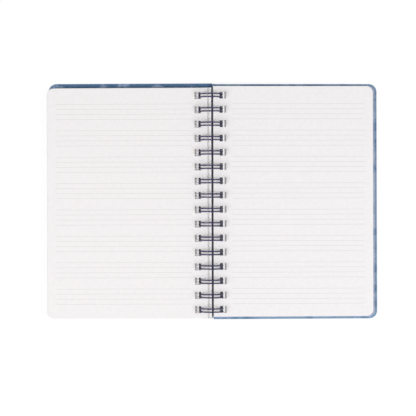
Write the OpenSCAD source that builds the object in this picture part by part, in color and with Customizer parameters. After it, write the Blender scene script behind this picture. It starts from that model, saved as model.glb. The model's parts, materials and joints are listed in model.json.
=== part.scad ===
// Open notebook on a twin-loop wire: two board covers and two piles of ruled sheets.
// The wire's middle line runs along Y. The covers lie open on the plane z = 0,
// each held up at its holes by the wire and touching the plane at its fore edge.

/* [Sheets] */
// Width of a sheet, from its spine edge to its fore edge
sheet_w = 142.5; // [90:0.5:210]
// Height of a sheet, along the wire
sheet_h = 205; // [120:0.5:297]
// Radius of the two corners at the fore edge of a sheet
sheet_r = 6; // [1:0.5:15]
// Thickness of one sheet
sheet_t = 0.1; // [0.07:0.005:0.12]
// Sheets that are turned over, on the front cover
turned_sheets = 60; // [45:1:80]
// Sheets that are still to be turned, on the back cover
unturned_sheets = 30; // [10:1:40]
// Most sheets that lie flush with each other as one bundle
bundle_sheets = 10; // [5:1:30]

/* [How the sheets lie] */
// How much farther in each bundle still to be turned lies than what is beneath it
drift = 0.1; // [0:0.05:0.3]
// How far the bundles still to be turned have slipped away from the spine
unturned_slip = 0.3; // [0:0.1:1]
// Bundles at the top of the turned pile that have slipped outwards
slipped_bundles = 2; // [1:1:3]
// How far the topmost turned bundle has slipped away from the spine
slip = 3.6; // [0:0.1:5]
// How much farther than that the bundle beneath it lies out
fan = 1; // [0:0.1:2]
// Share of its play along the wire that a turned bundle is pushed towards the head
turned_push = 0.8; // [-1:0.1:1]
// The same share for a slipped bundle
slipped_push = 0.3; // [-1:0.1:1]
// The same share for a bundle still to be turned
unturned_push = 0.6; // [-1:0.1:1]

/* [Covers] */
// How far a cover projects past the sheets at head and tail
end_square = 2.3; // [0.5:0.1:6]
// How much wider a cover is than a sheet
fore_square = 3.8; // [1:0.1:8]
// Thickness of the wrapped board
board_t = 2; // [1:0.1:3]
// Radius of the two corners at the fore edge of a cover
cover_r = 7; // [1:0.5:15]
// Thickness of the lining paper on the inside of a cover
lining_t = 0.15; // [0.05:0.01:0.4]
// Rim of wrapped board left bare around the lining
lining_rim = 1.8; // [0.5:0.1:6]
// How far the front cover lies towards the head, and the back cover towards the tail
cover_stagger = 0.4; // [0:0.05:1]

/* [Holes] */
// Spacing of the holes and of the loops along the spine
pitch = 12.7; // [9:0.1:16]
// Least distance from the middle of the end holes to the ends of a sheet
row_end = 6; // [4:0.1:12]
// Width of a hole, across the spine
hole_w = 5.8; // [5:0.1:8]
// Play of a pair of wires in its hole, to each side along the spine
hole_play = 1.1; // [0.4:0.05:1.6]
// Paper between the spine edge and the holes
hole_margin = 5.5; // [4:0.1:8]
// How far the row of holes sits above the middle of a turned sheet
turned_row_rise = 0.55; // [0:0.05:1.5]
// How far the row of holes sits below the middle of a sheet still to be turned
unturned_row_drop = 0.8; // [0:0.05:1.5]

/* [Wire] */
// How far the wire sits below the middle of the open notebook
wire_drop = 1.45; // [0:0.05:2]
// Diameter of the coated wire
wire_d = 1.2; // [0.8:0.05:1.6]
// Distance between the middles of the two wires of one loop
twin_gap = 2.8; // [2.2:0.1:3.6]
// Bend radius where a loop turns into the link to the next loop
link_bend = 1.8; // [1:0.1:2.4]
// How much thinner the wire is drawn where it is bent tightly
bend_thinning = 0.03; // [0.02:0.01:0.1]
// Gap left between the tip of a closed loop and the line of the links
seam_gap = 0.4; // [0.3:0.05:1]
// Direction of the seam round the wire, where 270 is straight down
seam_angle = 285; // [265:1:300]

/* [Fit] */
// Clearance between the wire and the edge of a hole that hangs on it
wire_clearance = 0.25; // [0.15:0.05:0.5]
// How far below the middle of the wire the top of each pile stops
top_clearance = 0.2; // [0.15:0.05:1]
// Gap between the lowest sheet and the lining that it lies on
seat_gap = 0.05; // [0.02:0.01:0.2]
// How far the deeper cover's spine edge may reach past the middle of the wire
spine_past = 1.1; // [0:0.1:2]
// Least gap between the spine edges of the two open covers
gutter = 1; // [0.5:0.1:3]

/* [Hidden] */
$fn = 64;

// Covers, wrapped and lined
cover_w = sheet_w + fore_square;
cover_h = sheet_h + 2 * end_square;
cover_t = board_t + lining_t;

// Holes, one for each loop
hole_h = twin_gap + wire_d + 2 * hole_play;
loops = floor((sheet_h - 2 * row_end) / pitch) + 1;
row = [for (i = [0 : loops - 1]) (i - (loops - 1) / 2) * pitch];
wire_y = -wire_drop;

// Sheets can move this far along the wire before a hole's edge meets it. Each cover is
// punched where its row lies under the row of the sheets that lie flush on it.
play = hole_play - wire_clearance;
turned_row = wire_y + play * turned_push;
slipped_row = wire_y + play * slipped_push;
unturned_row = wire_y + play * unturned_push;

// Depths below the middle of the wire, square to each half of the open notebook
turned_depth = top_clearance + turned_sheets * sheet_t;
unturned_depth = top_clearance + unturned_sheets * sheet_t;
front_depth = turned_depth + seat_gap + cover_t;
back_depth = unturned_depth + seat_gap + cover_t;

// The wire is as large as the two covers need to hang in it side by side
front_need = norm([front_depth, hole_margin - spine_past]);
back_need = norm([back_depth, hole_margin + spine_past + gutter]);
hang_r = max(front_need, back_need);
ring_r = hang_r + wire_clearance + wire_d;
wire_r = ring_r - wire_d / 2;

// Distance of each cover's spine edge from the middle of the wire, outwards
front_spine = sqrt(hang_r * hang_r - front_depth * front_depth) - hole_margin;
back_spine = sqrt(hang_r * hang_r - back_depth * back_depth) - hole_margin;

// Each half leans until its fore edge touches the plane that the wire rests on
function lean_of(spine, depth) =
    asin(ring_r / norm([spine + cover_w, depth])) - atan(depth / (spine + cover_w));
front_lean = lean_of(front_spine, front_depth);
back_lean = lean_of(back_spine, back_depth);

// Bundles of a pile, and the depth of the top of each one
function bundles(sheets) = ceil(sheets / bundle_sheets);
function bundle_t(sheets) = sheets * sheet_t / bundles(sheets);
function bundle_top(sheets, i) = top_clearance + (bundles(sheets) - 1 - i) * bundle_t(sheets);

// A bundle lies where it is pushed, as far as the wire in its holes lets it
function pushed(want, top, bottom) =
    let (outer = sqrt(pow(hang_r, 2) - pow(bottom, 2)))
    let (inner = sqrt(pow(ring_r + wire_clearance, 2) - pow(top, 2)) - hole_w)
    max(inner, min(outer, want + hole_margin)) - hole_margin;

// Where each bundle's spine edge lies, outwards from the middle of the wire
function is_slipped(i) = i >= bundles(turned_sheets) - slipped_bundles;
function turned_want(i) =
    !is_slipped(i) ? front_spine + gutter / 2
    : i == bundles(turned_sheets) - 1 ? front_spine + gutter / 2 + slip
    : front_spine + gutter / 2 + slip + fan;
function turned_spine(i) =
    let (top = bundle_top(turned_sheets, i))
    pushed(turned_want(i), top, top + bundle_t(turned_sheets));
function unturned_spine(i) =
    let (top = bundle_top(unturned_sheets, i))
    pushed(back_spine + unturned_slip - drift * (i + 1), top, top + bundle_t(unturned_sheets));

// The middle of the wire is set so that the whole notebook is centred on x = 0
function reach(out, depth, lean) = out * cos(lean) - depth * sin(lean);
front_reach = max(
    reach(front_spine + cover_w, front_depth - board_t, front_lean),
    max([for (i = [0 : bundles(turned_sheets) - 1])
        reach(turned_spine(i) + sheet_w, bundle_top(turned_sheets, i), front_lean)]));
back_reach = max(
    reach(back_spine + cover_w, back_depth - board_t, back_lean),
    max([for (i = [0 : bundles(unturned_sheets) - 1])
        reach(unturned_spine(i) + sheet_w, bundle_top(unturned_sheets, i), back_lean)]));
wire_x = (front_reach - back_reach) / 2;

// Seam of the wire: the legs start at the links and end at the tips
bend_lap = wire_d / 12;
function arc(length) = length / wire_r * 180 / PI;
leg_start = seam_angle + arc(link_bend);
leg_span = 360 - arc(link_bend) - arc(seam_gap) - arc(twin_gap / 2);

// Outline with a straight spine edge at x = 0 and two round corners at the fore edge
module leaf(w, h, r) {
    translate([0, -h / 2])
        square([w - r, h]);
    translate([0, r - h / 2])
        square([w, h - 2 * r]);
    for (side = [-1, 1])
        translate([w - r, side * (h / 2 - r)])
            circle(r);
}

module hole_row() {
    for (y = row)
        translate([hole_margin, y - hole_h / 2])
            square([hole_w, hole_h]);
}

// One cover, drawn outwards along +X with its outside face at z = 0 and its holes at row_y
module cover(row_y) {
    linear_extrude(board_t)
        difference() {
            leaf(cover_w, cover_h, cover_r);
            translate([0, row_y])
                hole_row();
        }
    translate([0, 0, board_t])
        linear_extrude(lining_t)
            difference() {
                leaf(cover_w - lining_rim, cover_h - 2 * lining_rim, cover_r - lining_rim / 2);
                translate([0, row_y])
                    hole_row();
            }
}

// One bundle of sheets that lie flush, with its row of holes at y = 0. Sheets are punched
// a lift at a time, so their middle lies differently against the row in the two piles.
module bundle(thick, middle) {
    linear_extrude(thick)
        difference() {
            translate([0, middle])
                leaf(sheet_w, sheet_h, sheet_r);
            hole_row();
        }
}

// Places what is drawn outwards along +X on the front or the back half
module front_half() {
    translate([wire_x, 0, ring_r])
        rotate([0, -front_lean, 0])
            mirror([1, 0, 0])
                children();
}

module back_half() {
    translate([wire_x, 0, ring_r])
        rotate([0, back_lean, 0])
            children();
}

module front_cover() {
    color("#6f8bb0")
        front_half()
            translate([front_spine, cover_stagger, -front_depth])
                cover(turned_row - cover_stagger);
}

module back_cover() {
    color("#8496b8")
        back_half()
            translate([back_spine, -cover_stagger, -back_depth])
                cover(unturned_row + cover_stagger);
}

module turned_pages() {
    thick = bundle_t(turned_sheets);
    color("#f3f0ef")
        front_half()
            for (i = [0 : bundles(turned_sheets) - 1])
                translate([
                    turned_spine(i),
                    is_slipped(i) ? slipped_row : turned_row,
                    -bundle_top(turned_sheets, i) - thick
                ])
                    bundle(thick, -turned_row_rise);
}

module unturned_pages() {
    thick = bundle_t(unturned_sheets);
    color("#f6f2f1")
        back_half()
            for (i = [0 : bundles(unturned_sheets) - 1])
                translate([
                    unturned_spine(i),
                    unturned_row,
                    -bundle_top(unturned_sheets, i) - thick
                ])
                    bundle(thick, unturned_row_drop);
}

// Part of a ring of wire with bend radius r, from +X towards +Y
module bent_wire(r, span, d = wire_d) {
    rotate_extrude(angle = span)
        translate([r, 0])
            circle(d = d);
}

// Tight bend, a little thinner than the wire, whose ends reach into the parts it joins
module tight_bend(r, span) {
    lap_angle = bend_lap / r * 180 / PI;
    rotate([0, 0, -lap_angle])
        bent_wire(r, span + 2 * lap_angle, wire_d - bend_thinning);
}

// Two legs round the pages, joined at the tip by a hairpin bend
module loop() {
    for (side = [-1, 1])
        translate([0, 0, side * twin_gap / 2])
            rotate([0, 0, leg_start])
                bent_wire(wire_r, leg_span);
    rotate([0, 0, leg_start + leg_span])
        translate([wire_r, 0, 0])
            rotate([0, 90, 0])
                tight_bend(twin_gap / 2, 180);
}

// Quarter bend that leads a leg, ending at the origin, sideways towards +Z
module link_corner() {
    translate([0, 0, link_bend])
        mirror([0, 1, 0])
            rotate([0, 90, 0])
                tight_bend(link_bend, 90);
}

// Straight wire with a bend at each end that joins one loop to the next along +Z
module link() {
    length = pitch - twin_gap;
    rotate([0, 0, leg_start])
        translate([wire_r, 0, twin_gap / 2]) {
            link_corner();
            translate([0, -link_bend, link_bend])
                cylinder(d = wire_d, h = length - 2 * link_bend);
            translate([0, 0, length])
                mirror([0, 0, 1])
                    link_corner();
        }
}

module twin_loop_wire() {
    color("#2c2f55")
        translate([wire_x, wire_y, ring_r])
            rotate([90, 0, 0]) {
                for (place = row)
                    translate([0, 0, place])
                        loop();
                for (i = [0 : loops - 2])
                    translate([0, 0, row[i]])
                        link();
            }
}

twin_loop_wire();
front_cover();
turned_pages();
back_cover();
unturned_pages();
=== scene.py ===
"""Looks of an open notebook on a twin-loop wire: ruled sheets, wrapped covers, coated wire."""

import json
import logging
import math
import random
from dataclasses import dataclass
from enum import Enum
from typing import Callable, Union

import bpy
from mathutils import Matrix, Vector


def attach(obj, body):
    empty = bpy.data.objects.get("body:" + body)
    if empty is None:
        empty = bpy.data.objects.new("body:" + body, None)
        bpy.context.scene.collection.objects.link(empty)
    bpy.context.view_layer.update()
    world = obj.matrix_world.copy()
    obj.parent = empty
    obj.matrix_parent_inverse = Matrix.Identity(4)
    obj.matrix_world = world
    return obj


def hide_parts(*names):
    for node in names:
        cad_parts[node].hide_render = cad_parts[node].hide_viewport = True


Colour = tuple[float, float, float, float]
Span = tuple[float, float]
Input = Union[bpy.types.NodeSocket, float, Colour]

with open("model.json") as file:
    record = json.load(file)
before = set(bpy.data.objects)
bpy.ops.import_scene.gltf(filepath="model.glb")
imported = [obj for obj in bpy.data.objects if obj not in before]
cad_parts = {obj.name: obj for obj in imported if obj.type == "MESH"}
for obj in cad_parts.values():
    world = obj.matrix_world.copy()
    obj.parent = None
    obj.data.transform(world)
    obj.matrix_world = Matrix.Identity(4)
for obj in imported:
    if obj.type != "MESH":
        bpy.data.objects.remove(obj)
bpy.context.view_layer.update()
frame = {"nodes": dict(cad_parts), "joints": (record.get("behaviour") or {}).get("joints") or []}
LOG = logging.getLogger("notebook")
MM = 0.001
WIRE_LINE = Vector(frame["joints"][0]["pos_m"])
RING_RADIUS = 10.9326 * MM

# Places closer than this are the same place
NEAR = 0.01 * MM

# How far each cover stands off the middle along the wire, one each way
STAGGER = 0.4 * MM

# Nearly all of a noise pattern's values lie between these two
NOISE_SPAN = (0.3, 0.7)


def paint(red: int, green: int, blue: int) -> Colour:
    """Turns a colour as it is seen on a screen, 0 to 255, into a linear colour for a node."""
    shades = [c / 255 for c in (red, green, blue)]
    linear = [c / 12.92 if c <= 0.04045 else ((c + 0.055) / 1.055) ** 2.4 for c in shades]
    return (*linear, 1.0)


# Working on one mesh at a time


def only(piece: bpy.types.Object) -> None:
    """Leaves this piece selected and active, and nothing else."""
    bpy.ops.object.select_all(action="DESELECT")
    piece.select_set(True)
    bpy.context.view_layer.objects.active = piece


def add_box(name: str, centre: tuple, size: tuple) -> bpy.types.Object:
    """Adds a box with its place and size in its mesh, and returns it."""
    bpy.ops.object.select_all(action="DESELECT")
    bpy.ops.mesh.primitive_cube_add(size=1, location=centre, scale=size)
    box = bpy.context.active_object
    box.name = box.data.name = name
    bpy.ops.object.transform_apply(location=True, rotation=True, scale=True)
    return box


def apply_modifiers(piece: bpy.types.Object) -> None:
    """Applies every modifier of the piece in order."""
    only(piece)
    for modifier in list(piece.modifiers):
        bpy.ops.object.modifier_apply(modifier=modifier.name)


def pick_edges(piece: bpy.types.Object, wanted: Callable[[Vector, Vector], bool]) -> None:
    """Selects the edges whose two ends pass a test, and nothing else.

    Args:
        piece: The mesh object, in object mode.
        wanted: Says whether an edge is picked, from the places of its two ends.
    """
    mesh = piece.data
    for part in (mesh.polygons, mesh.edges, mesh.vertices):
        part.foreach_set("select", [False] * len(part))
    for edge in mesh.edges:
        first, second = (mesh.vertices[i].co for i in edge.vertices)
        edge.select = wanted(first, second)


def bevel_picked(piece: bpy.types.Object, width: float, segments: int) -> None:
    """Rounds the picked edges.

    Args:
        piece: The mesh object with its edges picked.
        width: How far the round starts from the old edge, in metres.
        segments: Number of facets of the round.
    """
    only(piece)
    bpy.context.tool_settings.mesh_select_mode = (False, True, False)
    bpy.ops.object.mode_set(mode="EDIT")
    bpy.ops.mesh.bevel(offset=width, offset_type="OFFSET", segments=segments, affect="EDGES")
    bpy.ops.object.mode_set(mode="OBJECT")


def put(piece: bpy.types.Object, place: Matrix) -> None:
    """Moves the mesh itself to its place, and turns its faces out again where it is mirrored."""
    piece.data.transform(place)
    if place.is_negative:
        piece.data.flip_normals()


@dataclass(frozen=True)
class Leaf:
    """A flat slab with a straight spine edge at x = 0 and two round corners at the fore edge.

    Attributes:
        width: From the spine edge to the fore edge.
        height: Along the wire.
        thick: Thickness; the top lies at z = 0.
        corner: Radius of the round corners.
        facets: Facets of each round corner.
        middle: Where the middle of its height lies along Y.
    """

    width: float
    height: float
    thick: float
    corner: float
    facets: int = 10
    middle: float = 0.0

    def add(self, name: str) -> bpy.types.Object:
        """Adds the slab and returns it."""
        centre = (self.width / 2, self.middle, -self.thick / 2)
        slab = add_box(name, centre, (self.width, self.height, self.thick))
        fore_edge = self.width - NEAR
        pick_edges(slab, lambda a, b: min(a.x, b.x) > fore_edge and abs(a.y - b.y) < NEAR)
        bevel_picked(slab, self.corner, self.facets)
        return slab


@dataclass(frozen=True)
class HoleRow:
    """The punched holes along a spine edge, one for each loop of the wire.

    Attributes:
        margin: From the spine edge to a hole.
        width: Width of a hole, away from the spine.
        height: Height of a hole, along the wire.
        pitch: From one hole to the next.
        count: Number of holes.
        wall_play: How far off its place a face may lie to count as a wall.
        reach: How far from the middle along the wire such a face may lie.
    """

    margin: float = 5.5 * MM
    width: float = 5.8 * MM
    height: float = 6.2 * MM
    pitch: float = 12.7 * MM
    count: int = 16
    wall_play: float = 0.1 * MM
    reach: float = 102 * MM

    def punch(self, slab: bpy.types.Object, row_y: float, depth: float) -> None:
        """Cuts the row of holes.

        Args:
            slab: The slab that is punched, with its spine edge at x = 0.
            row_y: Where the middle of the row lies along Y.
            depth: More than the slab's thickness.
        """
        first = row_y - (self.count - 1) / 2 * self.pitch
        centre = (self.margin + self.width / 2, first, -depth / 4)
        punch = add_box("punch", centre, (self.width, self.height, depth * 2))
        repeat = punch.modifiers.new("row", "ARRAY")
        repeat.count = self.count
        repeat.use_relative_offset = False
        repeat.use_constant_offset = True
        repeat.constant_offset_displace = (0, self.pitch, 0)
        apply_modifiers(punch)
        cut = slab.modifiers.new("holes", "BOOLEAN")
        cut.operation = "DIFFERENCE"
        cut.solver = "EXACT"
        cut.object = punch
        apply_modifiers(slab)
        bpy.data.objects.remove(punch, do_unlink=True)

    def is_wall(self, polygon: bpy.types.MeshPolygon) -> bool:
        """Says whether a face, in a slab that is still flat, is a wall of one of the holes."""
        beyond_margin = polygon.center.x - self.margin
        inside = -self.wall_play < beyond_margin < self.width + self.wall_play
        return inside and abs(polygon.normal.z) < 0.5 and abs(polygon.center.y) < self.reach


class Half(Enum):
    """One half of the open notebook, by its side of the wire along X."""

    FRONT = -1
    BACK = 1

    def place(self, lean: float) -> Matrix:
        """Turns a slab that is drawn outwards along +X into its place on this half.

        Args:
            lean: How far the half leans down from the wire, in radians.

        Returns:
            The matrix from the half's own frame to the notebook's frame.
        """
        turn = Matrix.Rotation(self.value * lean, 4, "Y")
        mirror = Matrix.Diagonal((self.value, 1, 1, 1))
        return Matrix.Translation(WIRE_LINE) @ turn @ mirror


# Finishes


class Graph:
    """Short hand for a node tree: adds nodes and joins them."""

    def __init__(self, tree: bpy.types.NodeTree) -> None:
        """Starts with an empty tree."""
        self.tree = tree
        tree.nodes.clear()

    def feed(self, node: bpy.types.Node, inputs: dict[str | int, Input]) -> None:
        """Joins a socket or gives a value to each named or numbered input of a node."""
        for key, value in inputs.items():
            if isinstance(value, bpy.types.NodeSocket):
                self.tree.links.new(value, node.inputs[key])
            else:
                node.inputs[key].default_value = value

    def node(self, kind: str, inputs: dict | None = None, **settings) -> bpy.types.Node:
        """Adds a node.

        Args:
            kind: The node's type name.
            inputs: A value or a socket for each named or numbered input.
            **settings: The node's own properties.

        Returns:
            The new node.
        """
        made = self.tree.nodes.new(kind)
        for key, value in settings.items():
            setattr(made, key, value)
        self.feed(made, inputs or {})
        return made

    def calc(
        self, operation: str, first: Input, second: Input = 0.0, third: Input = 0.0
    ) -> bpy.types.NodeSocket:
        """Adds a Math node and returns its output."""
        made = self.node("ShaderNodeMath", {0: first, 1: second, 2: third}, operation=operation)
        return made.outputs[0]

    def band(
        self, value: Input, low: float, high: float, bottom: float = 0.0, top: float = 1.0
    ) -> bpy.types.NodeSocket:
        """Maps a value smoothly from one span to another and returns the output."""
        made = self.node(
            "ShaderNodeMapRange",
            {"Value": value, "From Min": low, "From Max": high, "To Min": bottom, "To Max": top},
            interpolation_type="SMOOTHSTEP",
        )
        return made.outputs["Result"]

    def mix(self, share: Input, first: Input, second: Input) -> bpy.types.NodeSocket:
        """Mixes two colours and returns the output."""
        made = self.node("ShaderNodeMix", {}, data_type="RGBA")
        self.feed(made, {0: share, 6: first, 7: second})
        return made.outputs[2]

    def spot(
        self, vector: Input, scale: float, detail: float = 2.0, roughness: float = 0.5
    ) -> bpy.types.NodeSocket:
        """Adds a noise pattern and returns its grey output.

        Args:
            vector: Where the pattern is read.
            scale: Spots for each metre.
            detail: Number of finer layers.
            roughness: Strength of the finer layers.

        Returns:
            The output socket.
        """
        made = self.node(
            "ShaderNodeTexNoise",
            {"Vector": vector, "Scale": scale, "Detail": detail, "Roughness": roughness},
        )
        return made.outputs["Fac"]

    def place(self) -> bpy.types.NodeSocket:
        """Returns an output that gives the place on the piece, in metres."""
        return self.node("ShaderNodeTexCoord").outputs["Object"]

    def mark(self, name: str) -> bpy.types.NodeSocket:
        """Returns an output that reads a value stored in the mesh."""
        return self.node("ShaderNodeAttribute", attribute_name=name).outputs["Fac"]

    def is_backdrop(self) -> bpy.types.NodeSocket:
        """Returns an output that is 1 for a camera, a gloss or glass, and 0 for plain light."""
        path = self.node("ShaderNodeLightPath")
        seen = self.calc("MAXIMUM", path.outputs["Is Camera Ray"], path.outputs["Is Glossy Ray"])
        return self.calc("MAXIMUM", seen, path.outputs["Is Transmission Ray"])


class Fibre:
    """The tangle of fibres in paper and board, as a node group that the dry finishes use."""

    NAME = "fibre_tangle"

    # Scale, number of finer layers and their strength
    CLOUD = (0.12, 3.0, 0.55)
    STRAND = (1.0, 4.0, 0.7)

    @classmethod
    def group(cls) -> bpy.types.NodeTree:
        """Returns the group, and builds it on its first use."""
        if cls.NAME in bpy.data.node_groups:
            return bpy.data.node_groups[cls.NAME]
        tree = bpy.data.node_groups.new(cls.NAME, "ShaderNodeTree")
        graph = Graph(tree)
        for name, kind in (("Vector", "NodeSocketVector"), ("Fineness", "NodeSocketFloat")):
            tree.interface.new_socket(name, in_out="INPUT", socket_type=kind)
        for name in ("Cloud", "Strand"):
            tree.interface.new_socket(name, in_out="OUTPUT", socket_type="NodeSocketFloat")
        given = graph.node("NodeGroupInput")
        wide = graph.node(
            "ShaderNodeVectorMath",
            {0: given.outputs["Vector"], "Scale": given.outputs["Fineness"]},
            operation="SCALE",
        )
        cloud = graph.spot(wide.outputs[0], *cls.CLOUD)
        strand = graph.spot(wide.outputs[0], *cls.STRAND)
        graph.node("NodeGroupOutput", {"Cloud": cloud, "Strand": strand})
        return tree

    @classmethod
    def use(cls, graph: Graph, vector: Input, fineness: float) -> tuple:
        """Places the group in a finish.

        Args:
            graph: The finish's node tree.
            vector: Where the pattern is read.
            fineness: Strands for each metre.

        Returns:
            The outputs for the wide cloudiness and for the single strands.
        """
        made = graph.node(
            "ShaderNodeGroup", {"Vector": vector, "Fineness": fineness}, node_tree=cls.group()
        )
        return made.outputs["Cloud"], made.outputs["Strand"]


def new_finish(name: str) -> tuple[bpy.types.Material, Graph]:
    """Makes an empty material and the short hand for its nodes."""
    material = bpy.data.materials.new(name)
    material.use_nodes = True
    return material, Graph(material.node_tree)


@dataclass(frozen=True)
class Skin:
    """How the surface of a finish takes the light.

    Attributes:
        smooth: Roughness of its smoothest places.
        rough: Roughness of its roughest places.
        relief: Depth of its relief, in metres.
        specular: Strength of its reflection.
    """

    smooth: float
    rough: float
    relief: float
    specular: float

    def close(self, graph: Graph, colour: Input, pattern: Input, height: Input) -> None:
        """Ends a finish with its surface shader.

        Args:
            graph: The finish's node tree.
            colour: Output for the base colour.
            pattern: Output that says where the surface is smooth and where it is rough.
            height: Output for the relief.
        """
        roughness = graph.band(pattern, *NOISE_SPAN, self.smooth, self.rough)
        bump = graph.node(
            "ShaderNodeBump", {"Height": height, "Distance": self.relief, "Strength": 1.0}
        )
        shader = graph.node(
            "ShaderNodeBsdfPrincipled",
            {
                "Base Color": colour,
                "Roughness": roughness,
                "Normal": bump.outputs[0],
                "Specular IOR Level": self.specular,
            },
        )
        graph.node("ShaderNodeOutputMaterial", {"Surface": shader.outputs[0]})


class PrintedSide(Enum):
    """Side of a sheet, by the height of its first line and by where its lines start."""

    OVER = (88.3 * MM, 14.0 * MM)
    UNDER = (86.7 * MM, 16.3 * MM)

    def other(self) -> "PrintedSide":
        """Returns the side on the back of this one."""
        return PrintedSide.UNDER if self is PrintedSide.OVER else PrintedSide.OVER


@dataclass(frozen=True)
class RuledPaper:
    """Smooth writing paper, printed with groups of pale lines.

    Attributes:
        side: The side of the sheet.
        paper: Colour of the paper.
        clouded: Colour to which it drifts in places.
        toned: Colour towards which a sheet with a full tone leans.
        tone_share: How far it leans.
        ink: Colour of the lines.
        thin_ink: Strength of the ink where it took least.
        ink_span: Where the fibres' pattern turns from thin to full ink.
        line_gap: From one line to the next.
        lines: Lines in a group.
        groups: Groups on a page.
        group_gap: From the first line of a group to that of the next.
        line_width: Width of a line.
        line_end: Where the lines end, from the spine edge.
        blur: Softness of a line's edge, as a share of half its width.
        fineness: Fibres for each metre.
        skin: How it takes the light.
    """

    side: PrintedSide
    paper: Colour = paint(246, 244, 246)
    clouded: Colour = paint(243, 240, 242)
    toned: Colour = paint(236, 231, 226)
    tone_share: float = 0.25
    ink: Colour = paint(223, 223, 221)
    thin_ink: float = 0.8
    ink_span: Span = (0.25, 0.6)
    line_gap: float = 4.5 * MM
    lines: int = 4
    groups: int = 8
    group_gap: float = 23.5 * MM
    line_width: float = 0.4 * MM
    line_end: float = 135 * MM
    blur: float = 0.2
    fineness: float = 2600.0
    skin: Skin = Skin(0.74, 0.86, 0.006 * MM, 0.35)

    def ruling(self, graph: Graph) -> bpy.types.NodeSocket:
        """Returns an output that is 1 on a printed line and 0 on bare paper."""
        at = graph.node("ShaderNodeUVMap", uv_map="leaf")
        split = graph.node("ShaderNodeSeparateXYZ", {0: at.outputs[0]})
        out, along = split.outputs[0], split.outputs[1]
        first, starts = self.side.value
        down = graph.calc("SUBTRACT", first, along)
        half_gap = self.line_gap / 2
        in_group = graph.calc("FLOORED_MODULO", graph.calc("ADD", down, half_gap), self.group_gap)
        in_line = graph.calc("FLOORED_MODULO", in_group, self.line_gap)
        distance = graph.calc("ABSOLUTE", graph.calc("SUBTRACT", in_line, half_gap))
        half = self.line_width / 2
        line = graph.band(distance, half * (1 - self.blur), half * (1 + self.blur), 1.0, 0.0)
        last = (self.groups - 1) * self.group_gap + self.lines * self.line_gap
        limits = (
            graph.calc("LESS_THAN", in_group, self.lines * self.line_gap),
            graph.calc("GREATER_THAN", down, -half_gap),
            graph.calc("LESS_THAN", down, last - half_gap),
            graph.calc("GREATER_THAN", out, starts),
            graph.calc("LESS_THAN", out, self.line_end),
        )
        for limit in limits:
            line = graph.calc("MULTIPLY", line, limit)
        return line

    def material(self) -> bpy.types.Material:
        """Builds the finish."""
        material, graph = new_finish(f"ruled_paper_{self.side.name.lower()}")
        cloud, strand = Fibre.use(graph, graph.place(), self.fineness)
        bare = graph.mix(graph.band(cloud, *NOISE_SPAN), self.paper, self.clouded)
        tone = graph.calc("MULTIPLY", graph.mark("sheet_tone"), self.tone_share)
        bare = graph.mix(tone, bare, self.toned)
        taken = graph.band(strand, *self.ink_span, self.thin_ink, 1.0)
        colour = graph.mix(graph.calc("MULTIPLY", self.ruling(graph), taken), bare, self.ink)
        self.skin.close(graph, colour, strand, strand)
        return material


@dataclass(frozen=True)
class CutEdge:
    """The trimmed edge of the sheets, where each one is a little lighter or darker.

    Attributes:
        light: Colour of the lightest places.
        dark: Colour of the darkest places.
        tone_share: How much of the shade is each sheet's own; the rest is the fibres'.
        fineness: Fibres for each metre.
        skin: How it takes the light.
    """

    light: Colour = paint(240, 237, 234)
    dark: Colour = paint(205, 200, 196)
    tone_share: float = 0.6
    fineness: float = 5200.0
    skin: Skin = Skin(0.82, 0.92, 0.01 * MM, 0.25)

    def material(self) -> bpy.types.Material:
        """Builds the finish."""
        material, graph = new_finish("cut_edge")
        cloud, strand = Fibre.use(graph, graph.place(), self.fineness)
        fibres = graph.calc("MULTIPLY", cloud, 1 - self.tone_share)
        shade = graph.calc("MULTIPLY_ADD", graph.mark("sheet_tone"), self.tone_share, fibres)
        self.skin.close(graph, graph.mix(shade, self.light, self.dark), strand, strand)
        return material


@dataclass(frozen=True)
class MottledPaper:
    """Printed paper of a cover: a soft blue mottle with small pale flecks.

    Attributes:
        name: Name of the material.
        deep: Colour of the deeper patches.
        pale: Colour of the paler patches.
        spread: Where the broad pattern turns from deep to pale.
        patches: Patches of the broad pattern for each metre.
        cloud_span: Where the cloudiness starts and stops to deepen the colour.
        cloud_share: How far the cloudiness deepens it.
        fleck: Colour of the small flecks and of rubbed places.
        flecks: Flecks for each metre.
        fleck_span: Where the flecks' pattern turns from paper to fleck.
        fleck_share: Strength of the flecks.
        rub_span: Where the fibres on the rim turn from whole to rubbed.
        rub_share: Strength of the rubbed places.
        fineness: Fibres for each metre.
        skin: How it takes the light.
    """

    name: str
    deep: Colour
    pale: Colour
    spread: Span
    patches: float = 85.0
    cloud_span: Span = (0.3, 0.75)
    cloud_share: float = 0.3
    fleck: Colour = paint(196, 205, 217)
    flecks: float = 640.0
    fleck_span: Span = (0.62, 0.72)
    fleck_share: float = 0.35
    rub_span: Span = (0.42, 0.62)
    rub_share: float = 0.3
    fineness: float = 2200.0
    skin: Skin = Skin(0.55, 0.7, 0.012 * MM, 0.25)

    def material(self) -> bpy.types.Material:
        """Builds the finish."""
        material, graph = new_finish(self.name)
        place = graph.place()
        cloud, strand = Fibre.use(graph, place, self.fineness)
        broad = graph.spot(place, self.patches, detail=3.0, roughness=0.55)
        colour = graph.mix(graph.band(broad, *self.spread), self.deep, self.pale)
        deepened = graph.band(cloud, *self.cloud_span, 0.0, self.cloud_share)
        colour = graph.mix(deepened, colour, self.deep)
        fleck = graph.spot(place, self.flecks, roughness=0.6)
        fleck = graph.band(fleck, *self.fleck_span)
        colour = graph.mix(graph.calc("MULTIPLY", fleck, self.fleck_share), colour, self.fleck)
        worn = graph.calc("MULTIPLY", graph.mark("rim"), graph.band(strand, *self.rub_span))
        colour = graph.mix(graph.calc("MULTIPLY", worn, self.rub_share), colour, self.fleck)
        self.skin.close(graph, colour, strand, strand)
        return material


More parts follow.
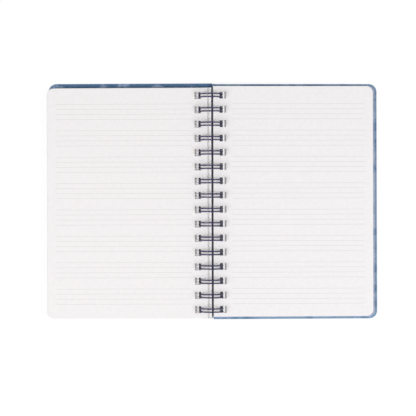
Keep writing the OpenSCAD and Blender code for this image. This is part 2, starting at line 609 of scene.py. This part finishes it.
@dataclass(frozen=True)
class GreyBoard:
    """The raw core of a cover, which shows in the walls of its punched holes."""

    light: Colour = paint(150, 143, 135)
    dark: Colour = paint(118, 112, 106)
    fineness: float = 6000.0
    skin: Skin = Skin(0.86, 0.96, 0.03 * MM, 0.2)

    def material(self) -> bpy.types.Material:
        """Builds the finish."""
        material, graph = new_finish("grey_board")
        cloud, strand = Fibre.use(graph, graph.place(), self.fineness)
        colour = graph.mix(graph.band(cloud, *NOISE_SPAN), self.light, self.dark)
        self.skin.close(graph, colour, strand, strand)
        return material


@dataclass(frozen=True)
class CoatedWire:
    """Steel wire in a navy nylon coat, smooth but not polished.

    Attributes:
        coat: Colour of the coat.
        deep: Colour where the coat ran thicker.
        flow: Thicker and thinner places for each metre.
        peel: Dimples of the surface for each metre.
        skin: How it takes the light.
    """

    coat: Colour = paint(44, 38, 90)
    deep: Colour = paint(30, 28, 68)
    flow: float = 210.0
    peel: float = 2400.0
    skin: Skin = Skin(0.30, 0.42, 0.004 * MM, 0.5)

    def material(self) -> bpy.types.Material:
        """Builds the finish."""
        material, graph = new_finish("navy_nylon_coat")
        place = graph.place()
        flow = graph.spot(place, self.flow)
        colour = graph.mix(graph.band(flow, *NOISE_SPAN), self.coat, self.deep)
        self.skin.close(graph, colour, flow, graph.spot(place, self.peel))
        return material


Finish = Union[RuledPaper, CutEdge, MottledPaper, GreyBoard, CoatedWire]
MADE: dict[Finish, bpy.types.Material] = {}


def material_of(finish: Finish) -> bpy.types.Material:
    """Returns the material of a finish, and builds it only once."""
    if finish not in MADE:
        MADE[finish] = finish.material()
    return MADE[finish]


# The pieces


@dataclass(frozen=True)
class Bundle:
    """Sheets of a pile that lie nearly flush with each other.

    Attributes:
        spine: Distance of their spine edges from the middle of the wire, outwards.
        row: Where the middle of their row of holes lies along the wire.
        inward: How far a single sheet may lie nearer to the spine.
        outward: How far a single sheet may lie farther from it.
        sheets: Number of sheets.
    """

    spine: float
    row: float
    inward: float
    outward: float
    sheets: int = 10


@dataclass(frozen=True)
class SheetPile:
    """A pile of loose sheets on one half, made sheet by sheet from the bottom up.

    Attributes:
        name: Name of the piece.
        node: The solid that it replaces.
        half: The half on which it lies.
        lean: How far the half leans down from the wire, in radians.
        top_side: Which side of the sheets is up.
        bundles: Its bundles, from the bottom up.
        seed: Start of its random draws.
        middle: Where the middle of a sheet lies along the wire, from its row of holes.
        holes: The row of holes.
        width: Width of a sheet.
        height: Height of a sheet, along the wire.
        corner: Radius of its round corners.
        sheet: Thickness that a sheet takes up.
        air: How much of that is air.
        top_clearance: From the wire's middle down to the topmost sheet.
        stray_kept: How much of one sheet's stray the next one keeps.
        play: How far a sheet may lie off its row along the wire.
        skew: How far a sheet may lie askew, in radians.
    """

    name: str
    node: str
    half: Half
    lean: float
    top_side: PrintedSide
    bundles: tuple[Bundle, ...]
    seed: int
    middle: float
    holes: HoleRow = HoleRow()
    width: float = 142.5 * MM
    height: float = 205 * MM
    corner: float = 6 * MM
    sheet: float = 0.1 * MM
    air: float = 0.006 * MM
    top_clearance: float = 0.2 * MM
    stray_kept: float = 0.55
    play: float = 0.08 * MM
    skew: float = 0.0005

    def first_sheet(self) -> bpy.types.Object:
        """Makes one punched sheet with its row of holes at y = 0 and its printed faces marked."""
        leaf = Leaf(
            self.width, self.height, self.sheet - self.air, self.corner, middle=self.middle
        )
        sheet = leaf.add(f"{self.name}_master")
        self.holes.punch(sheet, row_y=0.0, depth=MM)
        mesh = sheet.data
        print_map = mesh.uv_layers.get("UVMap") or mesh.uv_layers.new()
        print_map.name = "leaf"
        for loop in mesh.loops:
            spot = mesh.vertices[loop.vertex_index].co
            print_map.data[loop.index].uv = (spot.x, spot.y - self.middle)
        over, under = RuledPaper(self.top_side), RuledPaper(self.top_side.other())
        for finish in (over, under, CutEdge()):
            mesh.materials.append(material_of(finish))
        top, bottom, edge = range(3)
        for polygon in mesh.polygons:
            rise = polygon.normal.z
            polygon.material_index = edge if abs(rise) <= 0.5 else top if rise > 0 else bottom
        return sheet

    def copy_at(self, master: bpy.types.Mesh, place: Matrix, tone: float) -> bpy.types.Object:
        """Copies the sheet to its place with its own tone of paper."""
        mesh = master.copy()
        mesh.transform(place)
        marks = mesh.attributes.new("sheet_tone", "FLOAT", "POINT")
        marks.data.foreach_set("value", [tone] * len(mesh.vertices))
        copy = bpy.data.objects.new(f"{self.name}_sheet", mesh)
        bpy.context.scene.collection.objects.link(copy)
        return copy

    def lay_sheets(self, master: bpy.types.Mesh) -> list[bpy.types.Object]:
        """Lays a copy for each sheet of the pile, from the bottom up, and returns them."""
        draw = random.Random(self.seed)
        above = sum(bundle.sheets for bundle in self.bundles)
        copies = []
        stray = 0.5
        for bundle in self.bundles:
            for _ in range(bundle.sheets):
                above -= 1
                depth = self.top_clearance + above * self.sheet
                stray = self.stray_kept * stray + (1 - self.stray_kept) * draw.random()
                spine = bundle.spine - bundle.inward + stray * (bundle.inward + bundle.outward)
                along = bundle.row + draw.uniform(-self.play, self.play)
                turn = Matrix.Rotation(draw.uniform(-self.skew, self.skew), 4, "Z")
                place = Matrix.Translation((spine, along, -depth)) @ turn
                copies.append(self.copy_at(master, place, draw.random()))
        return copies

    def build(self) -> bpy.types.Object:
        """Builds the whole pile as one piece and puts it in place of its solid."""
        master = self.first_sheet()
        copies = self.lay_sheets(master.data)
        bpy.data.objects.remove(master, do_unlink=True)
        only(copies[0])
        for copy in copies:
            copy.select_set(True)
        bpy.ops.object.join()
        pile = bpy.context.active_object
        pile.name = pile.data.name = self.name
        put(pile, self.half.place(self.lean))
        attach(pile, self.node)
        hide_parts(self.node)
        return pile


@dataclass(frozen=True)
class Cover:
    """A wrapped board with its lining paper, made flat and put on its half.

    Attributes:
        name: Name of the pieces.
        node: The solid that they replace.
        half: The half on which it lies.
        lean: How far the half leans down from the wire, in radians.
        spine: Distance of its spine edge from the middle of the wire, outwards.
        depth: From the wire's middle down to its outside.
        middle: Where the middle of its height lies along the wire.
        row: Where the middle of its row of holes lies along the wire.
        wrap: Finish of the wrapped board.
        inside: Finish of the lining paper.
        holes: The row of holes.
        width: From the spine edge to the fore edge.
        height: Along the wire.
        board: Thickness of the board.
        lining: Thickness of the lining paper.
        corner: Radius of its round corners.
        corner_facets: Facets of each round corner.
        bare_rim: Width of the rim that the lining leaves bare.
        soft_edge: Width of the round of the board's edges.
        soft_lining: Width of the round of the lining's edges.
        smooth_below: Facets that meet at a smaller angle, in degrees, are shaded as one.
        punch_depth: How deep the holes are cut, which is more than its thickness.
    """

    name: str
    node: str
    half: Half
    lean: float
    spine: float
    depth: float
    middle: float
    row: float
    wrap: MottledPaper
    inside: MottledPaper
    holes: HoleRow = HoleRow()
    width: float = 146.3 * MM
    height: float = 209.6 * MM
    board: float = 2 * MM
    lining: float = 0.15 * MM
    corner: float = 7 * MM
    corner_facets: int = 14
    bare_rim: float = 1.8 * MM
    soft_edge: float = 0.35 * MM
    soft_lining: float = 0.04 * MM
    smooth_below: float = 35
    punch_depth: float = 10 * MM

    def punched_slab(
        self, leaf: Leaf, name: str, width: float, segments: int
    ) -> bpy.types.Object:
        """Makes a slab with soft edges, marked as the place that rubs, and punches its holes.

        Args:
            leaf: The slab's shape.
            name: Its name.
            width: Width of the round of its edges.
            segments: Facets of that round.

        Returns:
            The slab.
        """
        slab = leaf.add(name)
        pick_edges(slab, lambda a, b: abs(a.z - b.z) < NEAR)
        bevel_picked(slab, width, segments)
        mesh = slab.data
        rim = mesh.attributes.new("rim", "FLOAT", "POINT")
        rubs = [0.0] * len(mesh.vertices)
        for polygon in mesh.polygons:
            leans = 0.05 < abs(polygon.normal.z) < 0.99
            if leans:
                for index in polygon.vertices:
                    rubs[index] = 1.0
        rim.data.foreach_set("value", rubs)
        self.holes.punch(slab, self.row - self.middle, self.punch_depth)
        return slab

    def board_piece(self) -> bpy.types.Object:
        """Makes the wrapped board, with its outside face down."""
        leaf = Leaf(self.width, self.height, self.board, self.corner, self.corner_facets)
        board = self.punched_slab(leaf, f"{self.name}_board", self.soft_edge, segments=4)
        for finish in (self.wrap, GreyBoard()):
            board.data.materials.append(material_of(finish))
        for polygon in board.data.polygons:
            polygon.material_index = 1 if self.holes.is_wall(polygon) else 0
        return board

    def lining_piece(self) -> bpy.types.Object:
        """Makes the lining paper, which leaves a rim of the wrapped board bare."""
        leaf = Leaf(
            self.width - self.bare_rim,
            self.height - 2 * self.bare_rim,
            self.lining,
            self.corner - self.bare_rim / 2,
            self.corner_facets,
        )
        lining = self.punched_slab(leaf, f"{self.name}_lining", self.soft_lining, segments=2)
        lining.data.materials.append(material_of(self.inside))
        return lining

    def build(self) -> list[bpy.types.Object]:
        """Builds both pieces and puts them in place of the cover's solid."""
        top = self.lining + self.board - self.depth
        tops = {self.board_piece(): top - self.lining, self.lining_piece(): top}
        for piece, height in tops.items():
            only(piece)
            bpy.ops.object.shade_smooth_by_angle(angle=math.radians(self.smooth_below))
            place = Matrix.Translation((self.spine, self.middle, height))
            put(piece, self.half.place(self.lean) @ place)
            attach(piece, self.node)
        pieces = list(tops)
        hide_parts(self.node)
        return pieces


@dataclass(frozen=True)
class TwinLoopWire:
    """The bent wire, whose solid is shown as it is in a finish of its own."""

    node: str = "twin_loop_wire"

    def build(self) -> bpy.types.Object:
        """Gives the wire its coat."""
        wire = frame["nodes"][self.node]
        wire.data.materials.clear()
        wire.data.materials.append(material_of(CoatedWire()))
        return wire


def lean_of(spine: float, depth: float, width: float) -> float:
    """Angle at which a half lies when its fore edge touches the floor, in radians."""
    to_corner = math.hypot(spine + width, depth)
    return math.asin(RING_RADIUS / to_corner) - math.atan(depth / (spine + width))


def front_half() -> tuple[Cover, SheetPile]:
    """Describes the front cover and the sheets that are turned over on to it."""
    spine, depth = -1.1 * MM, 8.4 * MM
    row, slipped_row = -0.77 * MM, -1.195 * MM
    lean = lean_of(spine, depth, Cover.width)
    cover = Cover(
        "front_cover_wrapped", "front_cover", Half.FRONT, lean, spine, depth, STAGGER, row,
        # Painted shade: this cover's wrap and lining are darker than the back cover's, for the
        # shadow that the thick pile casts on its bare rim
        wrap=MottledPaper("front_wrap_painted_shade", paint(28, 86, 130), paint(134, 158, 190), (0.54, 0.64)),
        inside=MottledPaper("front_lining_painted_shade", paint(30, 88, 132), paint(138, 160, 190), (0.50, 0.60)),
    )
    bundles = (
        Bundle(-0.6 * MM, row, 0.15 * MM, 0.15 * MM),
        Bundle(-0.6 * MM, row, 0.15 * MM, 0.15 * MM),
        Bundle(-0.585 * MM, row, 0.05 * MM, 0.2 * MM),
        Bundle(-0.336 * MM, row, 0.05 * MM, 0.2 * MM),
        Bundle(3.724 * MM, slipped_row, 0.12 * MM, 0.0),
        Bundle(3.0 * MM, slipped_row, 0.1 * MM, 0.4 * MM),
    )
    pile = SheetPile(
        "turned_sheets", "turned_pages", Half.FRONT, lean, PrintedSide.OVER, bundles,
        seed=11, middle=-0.55 * MM,
    )
    return cover, pile


def back_half() -> tuple[Cover, SheetPile]:
    """Describes the back cover and the sheets that still lie on it."""
    spine, depth, row = 2.29487 * MM, 5.4 * MM, -0.94 * MM
    lean = lean_of(spine, depth, Cover.width)
    cover = Cover(
        "back_cover_wrapped", "back_cover", Half.BACK, lean, spine, depth, -STAGGER, row,
        wrap=MottledPaper("back_wrap", paint(68, 108, 148), paint(120, 150, 180), (0.36, 0.52)),
        # Pale lining paper, made paler still than the front's by a painted reflection for the sheen
        # on the back cover
        inside=MottledPaper(
            "back_lining_painted_reflection", paint(128, 148, 182), paint(182, 188, 212), (0.34, 0.56)
        ),
    )
    bundles = (
        Bundle(2.495 * MM, row, 0.15 * MM, 0.1 * MM),
        Bundle(2.395 * MM, row, 0.15 * MM, 0.1 * MM),
        Bundle(2.295 * MM, row, 0.1 * MM, 0.1 * MM),
    )
    pile = SheetPile(
        "unturned_sheets", "unturned_pages", Half.BACK, lean, PrintedSide.UNDER, bundles,
        seed=12, middle=0.8 * MM,
    )
    return cover, pile


# The studio


@dataclass(frozen=True)
class StudioFloor:
    """Pale floor that a camera sees nearly white, though it keeps a soft shadow.

    The glow whitens the open floor evenly. Where its share changes from place to place it is
    painted light: a strong glow paints the floor seen inside the holes as a lit pale strip, and a
    small share lets the floor's real shadow show in the gutter and at the holes' outer walls. The
    pairs of distances say where the floor's own glow starts to change and where it has changed.
    Those called out lead away from the wire's line, and those called along follow it.

    Attributes:
        size: Width of the floor.
        below: How far it lies under the notebook.
        tone: Colour under the lamps.
        roughness: Roughness under the lamps.
        glow: Strength of the glow.
        open_glow: Share of the glow on the open floor.
        loop_out: From the shadow between the loops to the floor seen inside the holes.
        loop_glow: Share of the glow before and after that.
        wall_out: From there to the shadow at the outer wall of the holes.
        wall_glow: Share of the glow before and after that.
        gutter_out: From the gutter to the floor under the covers' ends.
        cover_along: Where the covers end.
        past_along: Where the gutter ends.
        shadow_out: From the soft shadow at the wire to the open floor.
    """

    size: float = 6.0
    below: float = 0.05 * MM
    tone: Colour = (0.93, 0.93, 0.93, 1.0)
    roughness: float = 0.9
    glow: float = 1.04
    open_glow: float = 0.86
    loop_out: Span = (10.4 * MM, 10.9 * MM)
    loop_glow: Span = (0.05, 1.0)
    wall_out: Span = (11.9 * MM, 12.4 * MM)
    wall_glow: Span = (0.8, 0.3)
    gutter_out: Span = (3 * MM, 4 * MM)
    cover_along: Span = (100.2 * MM, 104.4 * MM)
    past_along: Span = (104.8 * MM, 105.4 * MM)
    shadow_out: Span = (16 * MM, 36 * MM)

    def glow_share(self, graph: Graph) -> bpy.types.NodeSocket:
        """Returns an output for the share of the glow at each place on the floor."""
        split = graph.node("ShaderNodeSeparateXYZ", {0: graph.place()})
        out = graph.calc("ABSOLUTE", graph.calc("SUBTRACT", split.outputs[0], WIRE_LINE.x))
        along = graph.calc("ABSOLUTE", split.outputs[1])
        # Painted light: the floor seen inside the holes glows into a lit pale strip, with less glow
        # beyond it
        in_loops = graph.band(out, *self.loop_out, *self.loop_glow)
        painted_hole_light = graph.calc(
            "MULTIPLY", in_loops, graph.band(out, *self.wall_out, *self.wall_glow)
        )
        past_covers = graph.calc(
            "MULTIPLY", graph.band(along, *self.cover_along), graph.band(out, *self.gutter_out)
        )
        past_ends = graph.calc("MAXIMUM", past_covers, graph.band(along, *self.past_along))
        is_open = graph.calc("MAXIMUM", graph.band(out, *self.shadow_out), past_ends)
        return graph.calc("MAXIMUM", painted_hole_light, graph.band(is_open, 0, 1, 0.0, self.open_glow))

    def build(self) -> None:
        """Adds the floor."""
        bpy.ops.object.select_all(action="DESELECT")
        bpy.ops.mesh.primitive_plane_add(size=self.size, location=(0, 0, -self.below))
        floor = bpy.context.active_object
        floor.name = "studio_floor"
        bpy.ops.object.transform_apply(location=True, rotation=True, scale=True)
        material, graph = new_finish("studio_floor_white")
        share = graph.calc("MULTIPLY", graph.is_backdrop(), self.glow_share(graph))
        lit = graph.node(
            "ShaderNodeBsdfPrincipled", {"Base Color": self.tone, "Roughness": self.roughness}
        )
        glow = graph.node("ShaderNodeEmission", {"Color": (1, 1, 1, 1), "Strength": self.glow})
        both = graph.node(
            "ShaderNodeMixShader", {0: share, 1: lit.outputs[0], 2: glow.outputs[0]}
        )
        graph.node("ShaderNodeOutputMaterial", {"Surface": both.outputs[0]})
        floor.data.materials.append(material)


@dataclass(frozen=True)
class Studio:
    """Plain pale floor, two soft lamps and the camera straight above.

    Attributes:
        sky: Strength of the light from all around.
        lamp_place: Place of the right lamp; the left one is its mirror image.
        lamp_power: Power of each lamp, in watts.
        lamp_size: Width of each lamp.
        camera_place: Place of the camera.
        camera_roll: How far the camera is turned, in radians.
        lens: Focal length, in millimetres.
        sensor: Width of the sensor, in millimetres.
        clip: Nearest and farthest distance that the camera sees.
    """

    sky: float = 0.3
    lamp_place: tuple = (1.1, -0.32, 1.25)
    lamp_power: float = 13.8
    lamp_size: float = 0.6
    camera_place: tuple = (-3.82 * MM, -6.05 * MM, 1.4)
    camera_roll: float = -0.003
    lens: float = 135.2
    sensor: float = 36.0
    clip: Span = (0.01, 50.0)

    def add_sky(self) -> None:
        """Adds a world that is white to look at and gives only a weak light."""
        world = bpy.data.worlds.new("studio")
        world.use_nodes = True
        bpy.context.scene.world = world
        graph = Graph(world.node_tree)
        strength = graph.calc("MULTIPLY_ADD", graph.is_backdrop(), 1.0 - self.sky, self.sky)
        sky = graph.node("ShaderNodeBackground", {"Color": (1, 1, 1, 1), "Strength": strength})
        graph.node("ShaderNodeOutputWorld", {"Surface": sky.outputs[0]})

    def add_lamp(self, name: str, side: int) -> None:
        """Adds a square soft lamp that points at the notebook.

        Args:
            name: Its name.
            side: -1 for the left and 1 for the right.
        """
        out, along, up = self.lamp_place
        place = Vector((side * out, along, up))
        bpy.ops.object.light_add(type="AREA", location=place)
        lamp = bpy.context.active_object
        lamp.name = name
        lamp.rotation_euler = (-place).to_track_quat("-Z", "Y").to_euler()
        lamp.data.energy, lamp.data.size = self.lamp_power, self.lamp_size

    def add_camera(self) -> None:
        """Adds the camera, which looks straight down."""
        rotation = (0, 0, self.camera_roll)
        bpy.ops.object.camera_add(location=self.camera_place, rotation=rotation)
        camera = bpy.context.active_object
        camera.name = "photo_camera"
        camera.data.lens, camera.data.sensor_width = self.lens, self.sensor
        camera.data.clip_start, camera.data.clip_end = self.clip
        bpy.context.scene.camera = camera

    def build(self) -> None:
        """Sets up the world, floor, lamps and camera."""
        bpy.context.scene.view_settings.view_transform = "Standard"
        self.add_sky()
        StudioFloor().build()
        self.add_lamp("left_lamp", -1)
        self.add_lamp("right_lamp", 1)
        self.add_camera()


def main() -> None:
    """Builds the notebook's pieces in order, and then the studio around them."""
    logging.basicConfig(level=logging.INFO, format="%(message)s")
    covers, piles = zip(front_half(), back_half())
    pieces = [piece for cover in covers for piece in cover.build()]
    pieces += [pile.build() for pile in piles]
    pieces.append(TwinLoopWire().build())
    for piece in pieces:
        LOG.info("%s: %d faces", piece.name, len(piece.data.polygons))
    Studio().build()


if __name__ == "__main__":
    main()
